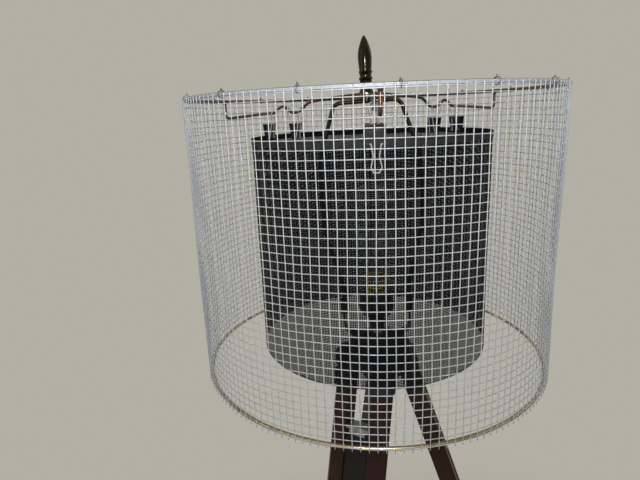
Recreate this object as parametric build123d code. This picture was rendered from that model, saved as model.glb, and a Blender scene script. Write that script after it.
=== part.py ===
from build123d import *
from math import cos, pi, radians, sin, sqrt, tan
import os

# Wire cage floor lamp. Millimetres, +Z up. Every piece is built around the pole axis, with the
# floor at z = 0, the shade is then leaned, and the whole lamp is centred on its footprint.
# Azimuths are counted from the front, -Y, towards +X.

# ---- heights on the pole axis, set by the plane of the cage's top ring -------------------------
RING_Z = 1292.0            # centre of the top ring above the floor
HINGE_DROP = 263.0         # leg hinges below the top ring
HEAD_TOP_RISE = 23.5       # tripod head's top face above the hinges
HEAD_TOP_DROP = HINGE_DROP - HEAD_TOP_RISE
SOCKET_RISE = 71.5         # rim of the brass socket shell above the head
SOCKET_MOUTH_DROP = HEAD_TOP_DROP - SOCKET_RISE

# ---- cage of welded wire cloth ---------------------------------------------------------------
CAGE_R = 166.0             # centre of the hoop wires, at the middle of a facet
CAGE_H = 254.0             # between the two rings, forty cells of quarter inch cloth
CLOTH_WIRE = 0.8           # galvanised wire, zinc included
CAGE_FACETS = 27           # flats round the cage, which keep the wires straight
UPRIGHTS_PER_FACET = 3     # with the facets: every second upright of the real cloth
HOOP_PITCHES = 20          # every second hoop of the real cloth
STUB = 2.5                 # uprights run on below the bottom ring
RING_WIRE = 3.2            # wire of the top and bottom rings
SEAT_GAP = 0.05            # clearance of pieces that rest on a round one
SHADE_LEAN = 1.9           # degrees, its top towards +X
SHADE_SHIFT = 2.3          # its axis beside the pole, at the top ring

# ---- tie wires round the top ring --------------------------------------------------------------
TIE_COUNT = 16
TIE_WIRE = 0.8
TIE_TAIL = 3.0             # twisted ends that stand up
TIE_AZIMUTH = 6.0

# ---- spider: washer and three bent arms ----------------------------------------------------------
ARM_AZIMUTHS = (2.4, 125.0, 249.0)
ARM_WIRE = 3.0
WASHER_D = 23.0
WASHER_T = 2.0
WASHER_BORE = 6.3
ARM_ROOT_R = 8.5
ARM_ROOT_DROP = 0.9        # arms are soldered into the washer's lower half
ARM_FLAT_R = 20.0
ARM_DROP = 18.0            # outer end of an arm below the ring
DIP_DROP = 14.0            # flats of the two dips that the clips hang in
INNER_DIP = (75.0, 83.0)
OUTER_DIP = (103.0, 117.0)
HUMP_DROP = 6.5            # arch between the dips
SHOULDER_R = 62.0
SHOULDER_DROP = 4.5

# ---- screen drum and its clips -------------------------------------------------------------------
DRUM_R = 110.0
DRUM_H = 203.0
DRUM_TOP_DROP = 36.0
SCREEN_T = 0.5
HEM_T = 0.5                # the folded edge is twice as thick
HEM_H = 5.0                # upper rim only; the lower one is a plain selvage
LAP_W = 14.0               # overlap of the rolled screen, at the back
CLIP_W = 14.5
CLIP_H = 15.0
CLIP_SPINE = 7.0           # depth of a clip at its back
CLIP_STEEL = 0.5
CLIP_BITE = 3.5            # jaws below the drum's rim
CLIP_LIP = 1.0             # radius of the rolled lips
HANDLE_WIRE = 1.0
CLIP_NOTCH = 9.4          # middle of a lip, cut away for the handle
HANDLE_NECK_W = 4.4
HANDLE_LOOP_W = 8.0
HANDLE_LOOP_H = 12.0
HANDLE_LEAN = 9.0          # outward, past the edges of the clip's back
HANDLE_REACH = 20.0        # of a handle that is folded down against the drum
HANDLE_DROOP = 7.0         # outward, degrees from hanging straight

# ---- finial, stud and harp -----------------------------------------------------------------------
FINIAL_TIP = 50.5          # above the top ring
FINIAL_R = 6.35
FINIAL_WIDE = 18.5         # widest level below the tip
FINIAL_BEADS = (31.1, 36.7)  # middles of the two beads below the tip
FINIAL_NECK_R = 5.0
FINIAL_BEAD_R = 6.2
FINIAL_BEAD_H = 2.2
FINIAL_FOOT_R = 6.6
FINIAL_SWELL_R = 5.5       # bullet's lower end
FINIAL_POINT_R = 0.3
FINIAL_HOLE_H = 12.0
STUD_D = 6.2
HARP_WIRE = 4.0
HARP_TOP_DROP = 6.5
HARP_TOP_W = 61.0          # corners of the flat top
HARP_W = 96.0              # widest
HARP_FOOT_W = 66.0         # between the two uprights of the saddle
HARP_FOOT_RISE = 53.5      # start of the straight feet above the head
HARP_FOOT_DROP = HEAD_TOP_DROP - HARP_FOOT_RISE
HARP_TAPER_H = 61.0        # from the straight feet up to the widest run
HARP_WIDE_DROPS = (60.0, HARP_FOOT_DROP - HARP_TAPER_H)  # where the widest run starts and ends
SADDLE_RISE = 25.5         # shoulders of the saddle's pegs above the head
SADDLE_UP_DROP = HEAD_TOP_DROP - SADDLE_RISE
PEG_D = 4.6
HARP_SEAT_R = 5.5          # boss under the washer
SLEEVE_D = 8.0
SLEEVE_H = 16.0
SLEEVE_GAP = 0.25
SADDLE_W = 12.0
SADDLE_T = 2.0
SADDLE_BEND = 12.0

# ---- lamp holder and bulb --------------------------------------------------------------------------
SHELL_D = 28.5             # brass screw shell
SHELL_H = 26.0
SHELL_T = 0.5
BEAD_DROPS = (1.2, 9.0, 15.0, 21.0)
BEAD_R = 0.9
PUCK_D = 34.0              # black insulator below the shell
PUCK_H = 12.0
CUP_D = 36.0               # bell below the insulator
CUP_H = 21.0
CUP_HUB_D = 17.0
BASE_D = 26.2              # bulb's screw base
BASE_H = 20.0
BASE_CONE_H = 2.5
THREAD_PITCH = 3.63        # Edison screw
THREAD_DEPTH = 1.0
THREAD_TOP = 4.0           # first turn below the base's rim
THREAD_TURNS = 4
BULB_D = 60.0
BULB_H = 86.0              # top of the bulb above the socket's rim
BULB_TOP_DROP = SOCKET_MOUTH_DROP - BULB_H
BULB_GLASS = 1.0
STEM_H = 42.0              # glass stem inside the bulb
PIPE_D = 10.0              # threaded pipe on the axis
PIPE_BORE = 7.0
NUT_AF = 15.0
NUT_H = 4.0
BUSHING_R = 8.0
BUSHING_H = 4.0

# ---- tripod head --------------------------------------------------------------------------------
HEAD_R = 31.0
HEAD_NECK_R = 18.5
HEAD_NECK_H = 7.0
HEAD_FLARE_H = 9.5         # top face to the rim
HEAD_RIM_H = 3.0
CORE_R = 17.0
CORE_REACH = 23.0          # foot of the core below the hinges
CORE_BOTTOM_DROP = HINGE_DROP + CORE_REACH
LUG_W = 25.4
LUG_R = 9.0
HINGE_R = 26.0             # hinge bolts from the pole axis
BOLT_D = 6.0
BOLT_CLEAR = 0.05
BOLT_AF = 10.0
BOLT_HEAD_H = 4.0

# ---- legs -----------------------------------------------------------------------------------------
LEG_AZIMUTHS = {"front": -28.5, "right": 91.5, "rear": 211.5}
SPLAY = 16.4
RAIL_W = 15.2
RAIL_D = 17.5
RAIL_GAP = 26.0
RAIL_L = 800.0             # hinge to the lower end of the rails
RAIL_EDGE = 1.2            # rounded long edges
YOKE_T = 2.0
YOKE_L = 24.0              # hinge to the lower edge of a cheek
CHEEK_R = 7.5              # smaller than the rails' round tops, so that folded legs clear each other
FLANGE_TOP = 7.0           # hinge to the upper edge of the front flange
SLIDE_W = 25.4
SLIDE_D = 15.0
SLIDE_TOPS = {"front": 65.0, "right": 65.0, "rear": 140.0}  # hinge to the top of the inner leg
SLIDE_CAP_T = 3.0
CAP_EAR_H = 5.0            # tongues of the cap on the inner leg's faces
CAP_EAR_W = 17.4
CLAMP_L = 175.0            # hinge to the clamp screw
STRAP_H = 18.0
STRAP_T = 3.0
SCREW_D = 6.0
WING_HUB_D = 11.0
WING_HUB_H = 7.0
WING_SPAN = 26.0
WING_T = 2.6
BAND_H = 24.0
BAND_T = 1.6
SHOE_H = 34.0              # metal ferrule on the inner leg's foot
SHOE_T = 1.5
TIP_H = 16.0               # rubber tip


def up(drop):
    """Height above the floor of a level given below the top ring."""
    return RING_Z - drop


def around(azimuth, radius=0.0, z=0.0):
    """Frame at a radius and azimuth: its local -Y points outward, its X is tangential."""
    return Rot(0, 0, azimuth) * Pos(0, -radius, z)


def turned(profile):
    """Solid of revolution about the pole axis from (radius, z) points and arcs."""
    return revolve(Plane.XZ * make_face(profile), Axis.Z)


def leaned(piece):
    """The piece, or each of its solids, moved from the pole axis to the shade's own leaning axis."""
    place = Pos(SHADE_SHIFT, 0, RING_Z) * Rot(0, SHADE_LEAN, 0) * Pos(0, 0, -RING_Z)
    if isinstance(piece, list):
        return [place * solid for solid in piece]
    return place * piece


def ring_gon(apothem_out, apothem_in, height, sides):
    """Flat ring with straight sides, a facet's middle at the front."""
    def outline(apothem):
        corner = apothem / cos(pi / sides)
        angles = [-pi / 2 + (k + 0.5) * 2 * pi / sides for k in range(sides)]
        return Polygon(*[(corner * cos(a), corner * sin(a)) for a in angles], align=None)
    return extrude(outline(apothem_out) - outline(apothem_in), height / 2, both=True)


def bent_rod(points, radii, diameter):
    """Round rod along straight runs joined by arcs."""
    path = FilletPolyline(*points, radius=radii) if radii else Polyline(*points)
    start = Plane(origin=path @ 0, z_dir=path % 0)
    return sweep(start * Circle(diameter / 2), path=path)


# ---- cage ------------------------------------------------------------------------------------------
def cage_uprights():
    facet = 2 * CAGE_R * tan(pi / CAGE_FACETS)
    pitch = facet / UPRIGHTS_PER_FACET
    length = CAGE_H + STUB + CLOTH_WIRE / 2
    wires = []
    for k in range(CAGE_FACETS):
        for n in range(UPRIGHTS_PER_FACET):
            shift = (n - (UPRIGHTS_PER_FACET - 1) / 2) * pitch
            wire = Pos(shift, 0, CLOTH_WIRE / 2 - length / 2) * Box(CLOTH_WIRE, CLOTH_WIRE, length)
            wires.append(around(k * 360 / CAGE_FACETS, CAGE_R + CLOTH_WIRE, RING_Z) * wire)
    return wires


def cage_hoops():
    half = CLOTH_WIRE / 2
    hoop = ring_gon(CAGE_R + half, CAGE_R - half, CLOTH_WIRE, CAGE_FACETS)
    return [Pos(0, 0, RING_Z - k * CAGE_H / HOOP_PITCHES) * hoop for k in range(HOOP_PITCHES + 1)]


def ring_radius():
    """Centre of the ring wires, which lie inside the cloth."""
    return CAGE_R - CLOTH_WIRE / 2 - SEAT_GAP - RING_WIRE / 2


def end_ring(z):
    return Pos(0, 0, z) * Torus(ring_radius(), RING_WIRE / 2)


def tie_wires():
    """Eight-sided loop round the ring and the top hoop, with its twisted ends standing up."""
    reach_in = ring_radius() - RING_WIRE / 2 - SEAT_GAP
    reach_out = (CAGE_R + CLOTH_WIRE / 2) / cos(pi / CAGE_FACETS) + SEAT_GAP
    inner = (reach_out - reach_in) / 2
    middle = (reach_out + reach_in) / 2
    loop = Rot(0, 90, 0) * ring_gon(inner + TIE_WIRE, inner, TIE_WIRE, 8)
    tail = Pos(0, 0, inner + TIE_WIRE * 0.75 + TIE_TAIL / 2) * Rot(0, 0, 45) * Box(
        1.5 * TIE_WIRE, 1.5 * TIE_WIRE, TIE_TAIL)
    tie = loop + tail
    pitch = 360 / (CAGE_FACETS * UPRIGHTS_PER_FACET)
    ties = []
    for k in range(TIE_COUNT):
        cell = round((TIE_AZIMUTH + k * 360 / TIE_COUNT) / pitch - 0.5)
        ties.append(around((cell + 0.5) * pitch, middle, RING_Z) * tie)
    return ties


# ---- spider ----------------------------------------------------------------------------------------
def arm_stops():
    """Corners of an arm as (radius, drop): hub, shoulder, two dips with an arch between, ring."""
    outer = ring_radius()
    return [(ARM_ROOT_R, ARM_ROOT_DROP), (ARM_FLAT_R, ARM_ROOT_DROP), (SHOULDER_R, SHOULDER_DROP),
            (INNER_DIP[0], DIP_DROP), (INNER_DIP[1], DIP_DROP),
            ((INNER_DIP[1] + OUTER_DIP[0]) / 2, HUMP_DROP), (OUTER_DIP[0], DIP_DROP),
            (OUTER_DIP[1], DIP_DROP + 0.5), (outer, ARM_DROP), (outer, RING_WIRE / 2 + SEAT_GAP)]


def arm_top_drop(radius):
    """Drop of an arm's upper side at a radius."""
    stops = arm_stops()
    for (r0, drop0), (r1, drop1) in zip(stops, stops[1:]):
        if r0 <= radius <= r1 and r1 > r0:
            slope = (drop1 - drop0) / (r1 - r0)
            return drop0 + slope * (radius - r0) - ARM_WIRE / 2 * sqrt(1 + slope * slope)
    return DIP_DROP - ARM_WIRE / 2


def spider():
    """Flat washer on the harp's stud with three wire arms that lean with the shade."""
    bends = [8.0, 8.0, 4.0, 4.0, 4.0, 4.0, 6.0, 4.5]
    arm = bent_rod([(0, -r, up(drop)) for r, drop in arm_stops()], bends, ARM_WIRE)
    frame = Pos(0, 0, up(0)) * Cylinder(WASHER_D / 2, WASHER_T)
    for azimuth in ARM_AZIMUTHS:
        frame += leaned(Rot(0, 0, azimuth) * arm)
    return frame - Pos(0, 0, up(0)) * Cylinder(WASHER_BORE / 2, 3 * WASHER_T)


# ---- screen drum and clips ---------------------------------------------------------------------------
def screen_drum():
    inner = DRUM_R - SCREEN_T
    wall = Cylinder(DRUM_R, DRUM_H) - Cylinder(inner, DRUM_H)
    hem = Cylinder(DRUM_R + HEM_T, HEM_H) - Cylinder(inner, HEM_H)
    shift = (DRUM_H - HEM_H) / 2
    lap = Pos(0, DRUM_R, 0) * Box(LAP_W, 2 * HEM_T, DRUM_H)
    lap = (lap & Cylinder(DRUM_R + HEM_T, DRUM_H)) - Cylinder(inner, DRUM_H)
    drum = wall + Pos(0, 0, shift) * hem + lap
    return Pos(0, 0, up(DRUM_TOP_DROP + DRUM_H / 2)) * drum


def rim_bow():
    """How far the curved rim bows within a clip's width."""
    return CLIP_W * CLIP_W / 8 / DRUM_R


def jaw_half():
    """Half of the jaws' opening, which takes the drum's bowed, doubled rim."""
    return (SCREEN_T + HEM_T + rim_bow()) / 2 + SEAT_GAP


def lip_axis():
    """Height of the rolled lips and their distance from the jaws' middle plane."""
    return CLIP_LIP * 0.9, jaw_half() + CLIP_STEEL + CLIP_LIP * 0.9


def clip_body():
    """Bent spring steel: a flat back and two sides that close to the jaws, each with a rolled lip."""
    jaw = jaw_half()
    top = CLIP_SPINE / 2
    roof = CLIP_H - CLIP_STEEL
    outline = Polyline((-jaw - CLIP_STEEL, 0), (-top, CLIP_H), (top, CLIP_H), (jaw + CLIP_STEEL, 0),
                       (jaw, 0), (top - CLIP_STEEL, roof), (CLIP_STEEL - top, roof), (-jaw, 0), close=True)
    body = extrude(Plane.YZ * make_face(outline), CLIP_W / 2, both=True)
    lip_z, lip_y = lip_axis()
    for side in (-1, 1):
        lip = Rot(0, 90, 0) * Cylinder(CLIP_LIP, CLIP_W)
        lip -= Box(CLIP_NOTCH, 3 * CLIP_LIP, 3 * CLIP_LIP)
        body += Pos(0, side * lip_y, lip_z) * lip
        bore = Rot(0, 90, 0) * Cylinder(HANDLE_WIRE / 2 + SEAT_GAP, 2 * CLIP_W)
        body -= Pos(0, side * lip_y, lip_z) * bore
    return body


def clip_handle(rise):
    """Bent wire with its ends turned out into a lip, its loop's inside at the given height."""
    head = rise + SEAT_GAP + HANDLE_WIRE / 2
    half = [(CLIP_W / 2 - 0.5, 0), (CLIP_NOTCH / 2 - HANDLE_WIRE, 0),
            (HANDLE_NECK_W / 2, head - HANDLE_LOOP_H), (HANDLE_LOOP_W / 2, head - HANDLE_LOOP_H / 3),
            (HANDLE_NECK_W / 2, head)]
    points = [(x, 0, z) for x, z in half] + [(-x, 0, z) for x, z in reversed(half)]
    path = Polyline(*points)
    start = Plane(origin=path @ 0, z_dir=path % 0)
    return sweep(start * RegularPolygon(HANDLE_WIRE / 2, 8), path=path, transition=Transition.RIGHT)


def clips():
    """Clips hung from both dips of every arm, their handles hooked over the arm. A clip on the
    drum has its outward handle folded down."""
    body = clip_body()
    jaw_drop = DRUM_TOP_DROP + CLIP_BITE
    lip_z, lip_y = lip_axis()
    lean = radians(HANDLE_LEAN)
    spread = lip_y + (jaw_drop - DIP_DROP) * tan(lean)
    bodies, handles = [], []
    inner = sum(INNER_DIP) / 2
    outer = DRUM_R + (HEM_T - SCREEN_T - rim_bow()) / 2
    for radius in (inner, outer):
        reach = [radius + side * spread + step for side in (-1, 1) for step in (-1, 0, 1)]
        rise = jaw_drop - lip_z - min(arm_top_drop(r) for r in reach)
        handle = clip_handle(rise / cos(lean))
        for azimuth in ARM_AZIMUTHS:
            place = around(azimuth, radius, up(jaw_drop))
            bodies.append(place * body)
            for side in (0, 180):
                hinge = place * Rot(0, 0, side) * Pos(0, -lip_y, lip_z)
                if radius == outer and side == 0:
                    handles.append(hinge * Rot(180 - HANDLE_DROOP, 0, 0) * clip_handle(HANDLE_REACH))
                else:
                    handles.append(hinge * Rot(HANDLE_LEAN, 0, 0) * handle)
    return bodies, handles


# ---- finial and harp -----------------------------------------------------------------------------------
def finial():
    """Turned bullet on two beads, a neck and a flared foot, drilled and tapped from below."""
    foot = RING_Z + WASHER_T / 2 + SEAT_GAP
    tip = RING_Z + FINIAL_TIP
    wide = tip - FINIAL_WIDE
    half = FINIAL_BEAD_H / 2
    side = [(0, foot), (FINIAL_FOOT_R, foot), (FINIAL_FOOT_R, foot + half), (FINIAL_NECK_R, foot + 3 * half)]
    for drop in reversed(FINIAL_BEADS):
        middle = tip - drop
        side += [(FINIAL_NECK_R, middle - half), (FINIAL_BEAD_R, middle - half / 2),
                 (FINIAL_BEAD_R, middle + half / 2), (FINIAL_NECK_R, middle + half)]
    swell = side[-1][1]
    bullet = [
        Line(side[-1], (FINIAL_SWELL_R, swell)),
        ThreePointArc((FINIAL_SWELL_R, swell), (0.4 * FINIAL_SWELL_R + 0.6 * FINIAL_R, (swell + wide) / 2),
                      (FINIAL_R, wide)),
        ThreePointArc((FINIAL_R, wide), (0.72 * FINIAL_R, tip - 0.43 * FINIAL_WIDE), (FINIAL_POINT_R, tip)),
    ]
    solid = turned([Polyline(*side), *bullet, Polyline((FINIAL_POINT_R, tip), (0, tip), (0, foot))])
    return solid - Pos(0, 0, foot + FINIAL_HOLE_H / 2) * Cylinder(STUD_D / 2 + SEAT_GAP, FINIAL_HOLE_H)


def harp():
    """Round wire bow on the pole axis, with the stud that takes the washer and the finial."""
    side = [(HARP_FOOT_W / 2, SADDLE_UP_DROP), (HARP_FOOT_W / 2, HARP_FOOT_DROP),
            (HARP_W / 2, HARP_WIDE_DROPS[1]), (HARP_W / 2, HARP_WIDE_DROPS[0]),
            (HARP_TOP_W / 2, HARP_TOP_DROP)]
    bends = [30.0, 60.0, 60.0, 9.0]
    points = side + [(-x, drop) for x, drop in reversed(side)]
    bow = bent_rod([(x, 0, up(drop)) for x, drop in points], bends + bends[::-1], HARP_WIRE)
    seat_top = up(WASHER_T / 2 + SEAT_GAP)
    seat_h = HARP_TOP_DROP - WASHER_T / 2
    bow += Pos(0, 0, seat_top - seat_h / 2) * Cylinder(HARP_SEAT_R, seat_h)
    stud_h = WASHER_T + FINIAL_HOLE_H - 1.0
    return bow + Pos(0, 0, seat_top + stud_h / 2) * Cylinder(STUD_D / 2, stud_h)


def harp_sleeves():
    """Slotless sleeves over the joint between harp and saddle, which lift to free the harp."""
    bore = PEG_D / 2 + SLEEVE_GAP
    sleeve = Cylinder(SLEEVE_D / 2, SLEEVE_H) - Cylinder(bore, SLEEVE_H)
    z = up(SADDLE_UP_DROP) + SLEEVE_H / 2 - 2.0
    return [Pos(side * HARP_FOOT_W / 2, 0, z) * sleeve for side in (-1, 1)]


def saddle():
    """Stamped strip bent to a U: a flat middle on the head, sides that rise, and two round pegs."""
    floor_z = up(HEAD_TOP_DROP) + SADDLE_T / 2
    rise = HARP_FOOT_W / 2
    peg_z = up(SADDLE_UP_DROP)
    path = FilletPolyline((-rise, 0, peg_z - 2.0), (-rise, 0, floor_z), (rise, 0, floor_z),
                          (rise, 0, peg_z - 2.0), radius=SADDLE_BEND)
    start = Plane(origin=path @ 0, x_dir=(0, 1, 0), z_dir=path % 0)
    strip = sweep(start * Rectangle(SADDLE_W, SADDLE_T), path=path)
    strip -= Pos(0, 0, floor_z) * Cylinder(PIPE_D / 2 + SEAT_GAP, 3 * SADDLE_T)
    for side in (-1, 1):
        strip += Pos(side * rise, 0, peg_z - 1.0) * Cylinder(PEG_D / 2, 2.0)
    return strip


# ---- lamp holder, bulb and threaded pipe ------------------------------------------------------------------
def socket_shell():
    """Rolled brass shell with raised beads."""
    mouth = up(SOCKET_MOUTH_DROP)
    low = mouth - SHELL_H
    radius = SHELL_D / 2
    side = [(radius - SHELL_T, mouth)]
    for drop in BEAD_DROPS:
        side += [(radius, mouth - drop + BEAD_R), (radius + BEAD_R / 2, mouth - drop + BEAD_R / 3),
                 (radius + BEAD_R / 2, mouth - drop - BEAD_R / 3), (radius, mouth - drop - BEAD_R)]
    side += [(radius, low), (radius - SHELL_T, low)]
    return turned(Polyline(*side, close=True))


def socket_body():
    """Black insulator under the brass shell; its raised middle carries the bulb's contact."""
    mouth = up(SOCKET_MOUTH_DROP)
    seat = mouth - SHELL_H
    boss_top = mouth - BASE_H - BASE_CONE_H - SEAT_GAP
    boss_r = SHELL_D / 2 - SHELL_T - SEAT_GAP
    points = [(0, boss_top), (boss_r, boss_top), (boss_r, seat), (PUCK_D / 2 - 1.0, seat),
              (PUCK_D / 2, seat - 1.0), (PUCK_D / 2, seat - PUCK_H), (0, seat - PUCK_H)]
    return turned(Polyline(*points, close=True))


def cup_top():
    return up(SOCKET_MOUTH_DROP + SHELL_H + PUCK_H)


def socket_cup():
    """Bell of dark bronze that carries the insulator on the threaded pipe."""
    top = cup_top()
    low = top - CUP_H
    rim = CUP_D / 2
    hub = CUP_HUB_D / 2
    bell = turned([
        Polyline((0, low), (hub, low), (hub, low + 5.0)),
        Spline((hub, low + 5.0), (hub + 5.5, low + 10.0), (rim, top - 2.5), tangents=((0.3, 1), (0.2, 1))),
        Polyline((rim, top - 2.5), (rim, top), (0, top), (0, low)),
    ])
    return bell - Pos(0, 0, (top + low) / 2) * Cylinder(PIPE_D / 2 + SEAT_GAP, CUP_H)


def bulb_base():
    """Screw base with its thread as ridges, insulator cone and end contact."""
    mouth = up(SOCKET_MOUTH_DROP)
    crest = BASE_D / 2 - 0.1
    root = crest - THREAD_DEPTH
    low = mouth - BASE_H
    side = [(0, mouth), (root, mouth)]
    for turn in range(THREAD_TURNS):
        middle = mouth - THREAD_TOP - turn * THREAD_PITCH
        side += [(root, middle + THREAD_PITCH / 3), (crest, middle + THREAD_PITCH / 8),
                 (crest, middle - THREAD_PITCH / 8), (root, middle - THREAD_PITCH / 3)]
    side += [(root, low), (root - 2.0, low), (root / 2, low - BASE_CONE_H), (0, low - BASE_CONE_H)]
    return turned(Polyline(*side, close=True))


def bulb_stem():
    """Flared glass stem inside the envelope."""
    foot = up(SOCKET_MOUTH_DROP) + SEAT_GAP
    return turned(Polyline((0, foot), (8.0, foot), (4.0, foot + 8.0), (3.0, foot + STEM_H - 6.0),
                           (2.0, foot + STEM_H), (0, foot + STEM_H), close=True))


def bulb_glass():
    """Pear-shaped envelope, closed at the top, on its screw base."""
    foot = up(SOCKET_MOUTH_DROP) + SEAT_GAP
    top = up(BULB_TOP_DROP)
    ball = BULB_D / 2
    centre = top - ball
    neck = BASE_D / 2 - 1.1
    swing = radians(38.0)
    def skin(inset):
        """Half outline of the envelope, set in from the outside of the glass."""
        reach = ball - inset
        hang = (reach * cos(swing), centre - reach * sin(swing))
        throat = neck - inset
        return turned([
            Line((0, foot), (throat, foot)),
            Spline((throat, foot), (throat + 2.0, foot + 12.0), hang,
                   tangents=((0, 1), (sin(swing), cos(swing)))),
            CenterArc((0, centre), reach, -38.0, 128.0),
            Line((0, top - inset), (0, foot)),
        ])
    return skin(0.0) - skin(BULB_GLASS)


def pipe():
    """Threaded pipe from the bell to the foot of the head."""
    top = cup_top() - SEAT_GAP
    height = top - up(CORE_BOTTOM_DROP)
    return Pos(0, 0, top - height / 2) * (Cylinder(PIPE_D / 2, height) - Cylinder(PIPE_BORE / 2, height))


def pipe_nut():
    """Hexagon nut on the saddle, below the bell."""
    nut = extrude(RegularPolygon(NUT_AF / 2, 6, major_radius=False), NUT_H)
    return Pos(0, 0, up(HEAD_TOP_DROP) + SADDLE_T) * (nut - Cylinder(PIPE_D / 2 + SEAT_GAP, 3 * NUT_H))


def pipe_collar():
    """Spacer between the nut and the bell."""
    low = up(HEAD_TOP_DROP) + SADDLE_T + NUT_H
    height = cup_top() - CUP_H - low
    return Pos(0, 0, low + height / 2) * (Cylinder(CUP_HUB_D / 2 - 1.0, height)
                                          - Cylinder(PIPE_D / 2 + SEAT_GAP, height))


# ---- tripod head --------------------------------------------------------------------------------------
def tripod_head():
    """Turned cap over a core with three hinge lugs, bored for the pipe."""
    top = up(HEAD_TOP_DROP)
    rim_top = top - HEAD_FLARE_H
    rim_low = rim_top - HEAD_RIM_H
    low = up(CORE_BOTTOM_DROP)
    cap = turned([
        Polyline((0, low), (CORE_R, low), (CORE_R, rim_low), (HEAD_R, rim_low), (HEAD_R, rim_top)),
        ThreePointArc((HEAD_R, rim_top), (HEAD_R - 4.0, rim_top + 1.6),
                      (HEAD_NECK_R + 1.0, top - HEAD_NECK_H)),
        Polyline((HEAD_NECK_R + 1.0, top - HEAD_NECK_H), (HEAD_NECK_R, top), (0, top), (0, low)),
    ])
    hinge = up(HINGE_DROP)
    lug_top = rim_low - hinge
    plate = Rectangle(HINGE_R, lug_top + LUG_R, align=(Align.MAX, Align.MIN))
    plate = Pos(0, -LUG_R) * plate + Circle(LUG_R)
    lug = extrude(Plane.YZ * plate, LUG_W / 2, both=True)
    for azimuth in LEG_AZIMUTHS.values():
        cap += around(azimuth, HINGE_R, hinge) * Rot(0, 0, 180) * lug
    for azimuth in LEG_AZIMUTHS.values():
        cap -= around(azimuth, HINGE_R, hinge) * Rot(0, 90, 0) * Cylinder(BOLT_D / 2 + BOLT_CLEAR, 2 * LUG_W)
    cap -= Pos(0, 0, (top + low) / 2) * Cylinder(PIPE_D / 2 + SEAT_GAP, top - low)
    return cap


def cord_bushing():
    """Bushing where a lead would leave the foot of the head."""
    middle = up(CORE_BOTTOM_DROP) - BUSHING_H / 2 - SEAT_GAP
    return Pos(0, 0, middle) * (Cylinder(BUSHING_R, BUSHING_H) - Cylinder(PIPE_BORE / 2, BUSHING_H))


def hinge_bolts():
    half = RAIL_GAP / 2 + RAIL_W + YOKE_T + 0.3
    shaft = Rot(0, 90, 0) * Cylinder(BOLT_D / 2, 2 * half + 2.0)
    head = Plane.YZ * RegularPolygon(BOLT_AF / 2, 6, major_radius=False)
    bolt = shaft + Pos(half, 0, 0) * extrude(head, BOLT_HEAD_H)
    bolt += Pos(-half, 0, 0) * extrude(head, -BOLT_HEAD_H)
    return [around(a, HINGE_R, up(HINGE_DROP)) * bolt for a in LEG_AZIMUTHS.values()]


# ---- a leg: built hanging straight down from its hinge, outward face towards -Y ------------------------
def leg_length():
    return up(HINGE_DROP) / cos(radians(SPLAY))


def leg_frame(azimuth):
    return around(azimuth, HINGE_R, up(HINGE_DROP)) * Rot(SPLAY * -1, 0, 0)


def rails():
    pair = []
    for side in (-1, 1):
        blank = Pos(0, 0, -RAIL_L / 2) * Box(RAIL_W, RAIL_D, RAIL_L)
        blank = fillet(blank.edges().filter_by(Axis.Z), RAIL_EDGE)
        blank += Rot(0, 90, 0) * Cylinder(RAIL_D / 2, RAIL_W)
        blank -= Rot(0, 90, 0) * Cylinder(BOLT_D / 2 + BOLT_CLEAR, 2 * RAIL_W)
        pair.append(Pos(side * (RAIL_GAP + RAIL_W) / 2, 0, 0) * blank)
    return pair


def yoke():
    """Black iron angles over the tops of the two rails: a cheek outside and a flange in front."""
    flange_h = YOKE_L - FLANGE_TOP
    front = RAIL_D / 2 + YOKE_T
    plate = Pos(0, -YOKE_L / 2) * Rectangle(2 * CHEEK_R, YOKE_L) + Circle(CHEEK_R)
    plate += Pos(-front, -YOKE_L) * Rectangle(front, flange_h, align=(Align.MIN, Align.MIN))
    cheek = Plane.YZ * plate
    angles = []
    for side in (-1, 1):
        outside = side * (RAIL_GAP / 2 + RAIL_W)
        angle = Pos(outside, 0, 0) * extrude(cheek, side * YOKE_T)
        angle += Pos(outside - side * RAIL_W / 2 + side * YOKE_T / 2, -(RAIL_D + YOKE_T) / 2,
                     -FLANGE_TOP - flange_h / 2) * Box(RAIL_W + YOKE_T, YOKE_T, flange_h)
        angles.append(angle - Rot(0, 90, 0) * Cylinder(BOLT_D / 2 + BOLT_CLEAR, 4 * abs(outside)))
    return angles


def guide_band():
    """Sheet metal band that closes the lower ends of the rails round the inner leg."""
    width, depth = 2 * (RAIL_GAP / 2 + RAIL_W), RAIL_D
    outer = RectangleRounded(width + 2 * BAND_T, depth + 2 * BAND_T, RAIL_EDGE + BAND_T)
    band = extrude(outer - RectangleRounded(width, depth, RAIL_EDGE), BAND_H / 2, both=True)
    return Pos(0, 0, -RAIL_L + BAND_H / 2 - 3.0) * band


def clamp_strap():
    """Strap across the inner side of the rails, with a boss for the clamp screw."""
    width = 2 * (RAIL_GAP / 2 + RAIL_W)
    strap = Box(width, STRAP_T, STRAP_H)
    strap = fillet(strap.edges().filter_by(Axis.Y), 4.0)
    boss = Pos(0, STRAP_T / 2 + 1.5, 0) * Rot(90, 0, 0) * Cylinder(6.5, 3.0)
    hole = Rot(90, 0, 0) * Cylinder(SCREW_D / 2 + BOLT_CLEAR, 6 * STRAP_T)
    for side in (-1, 1):
        rivet = Pos(side * (width - RAIL_W) / 2, STRAP_T / 2 + 0.5, 0) * Rot(90, 0, 0) * Cylinder(2.6, 1.0)
        boss += rivet
    return Pos(0, RAIL_D / 2 + STRAP_T / 2, -CLAMP_L) * (strap + boss - hole)


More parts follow.
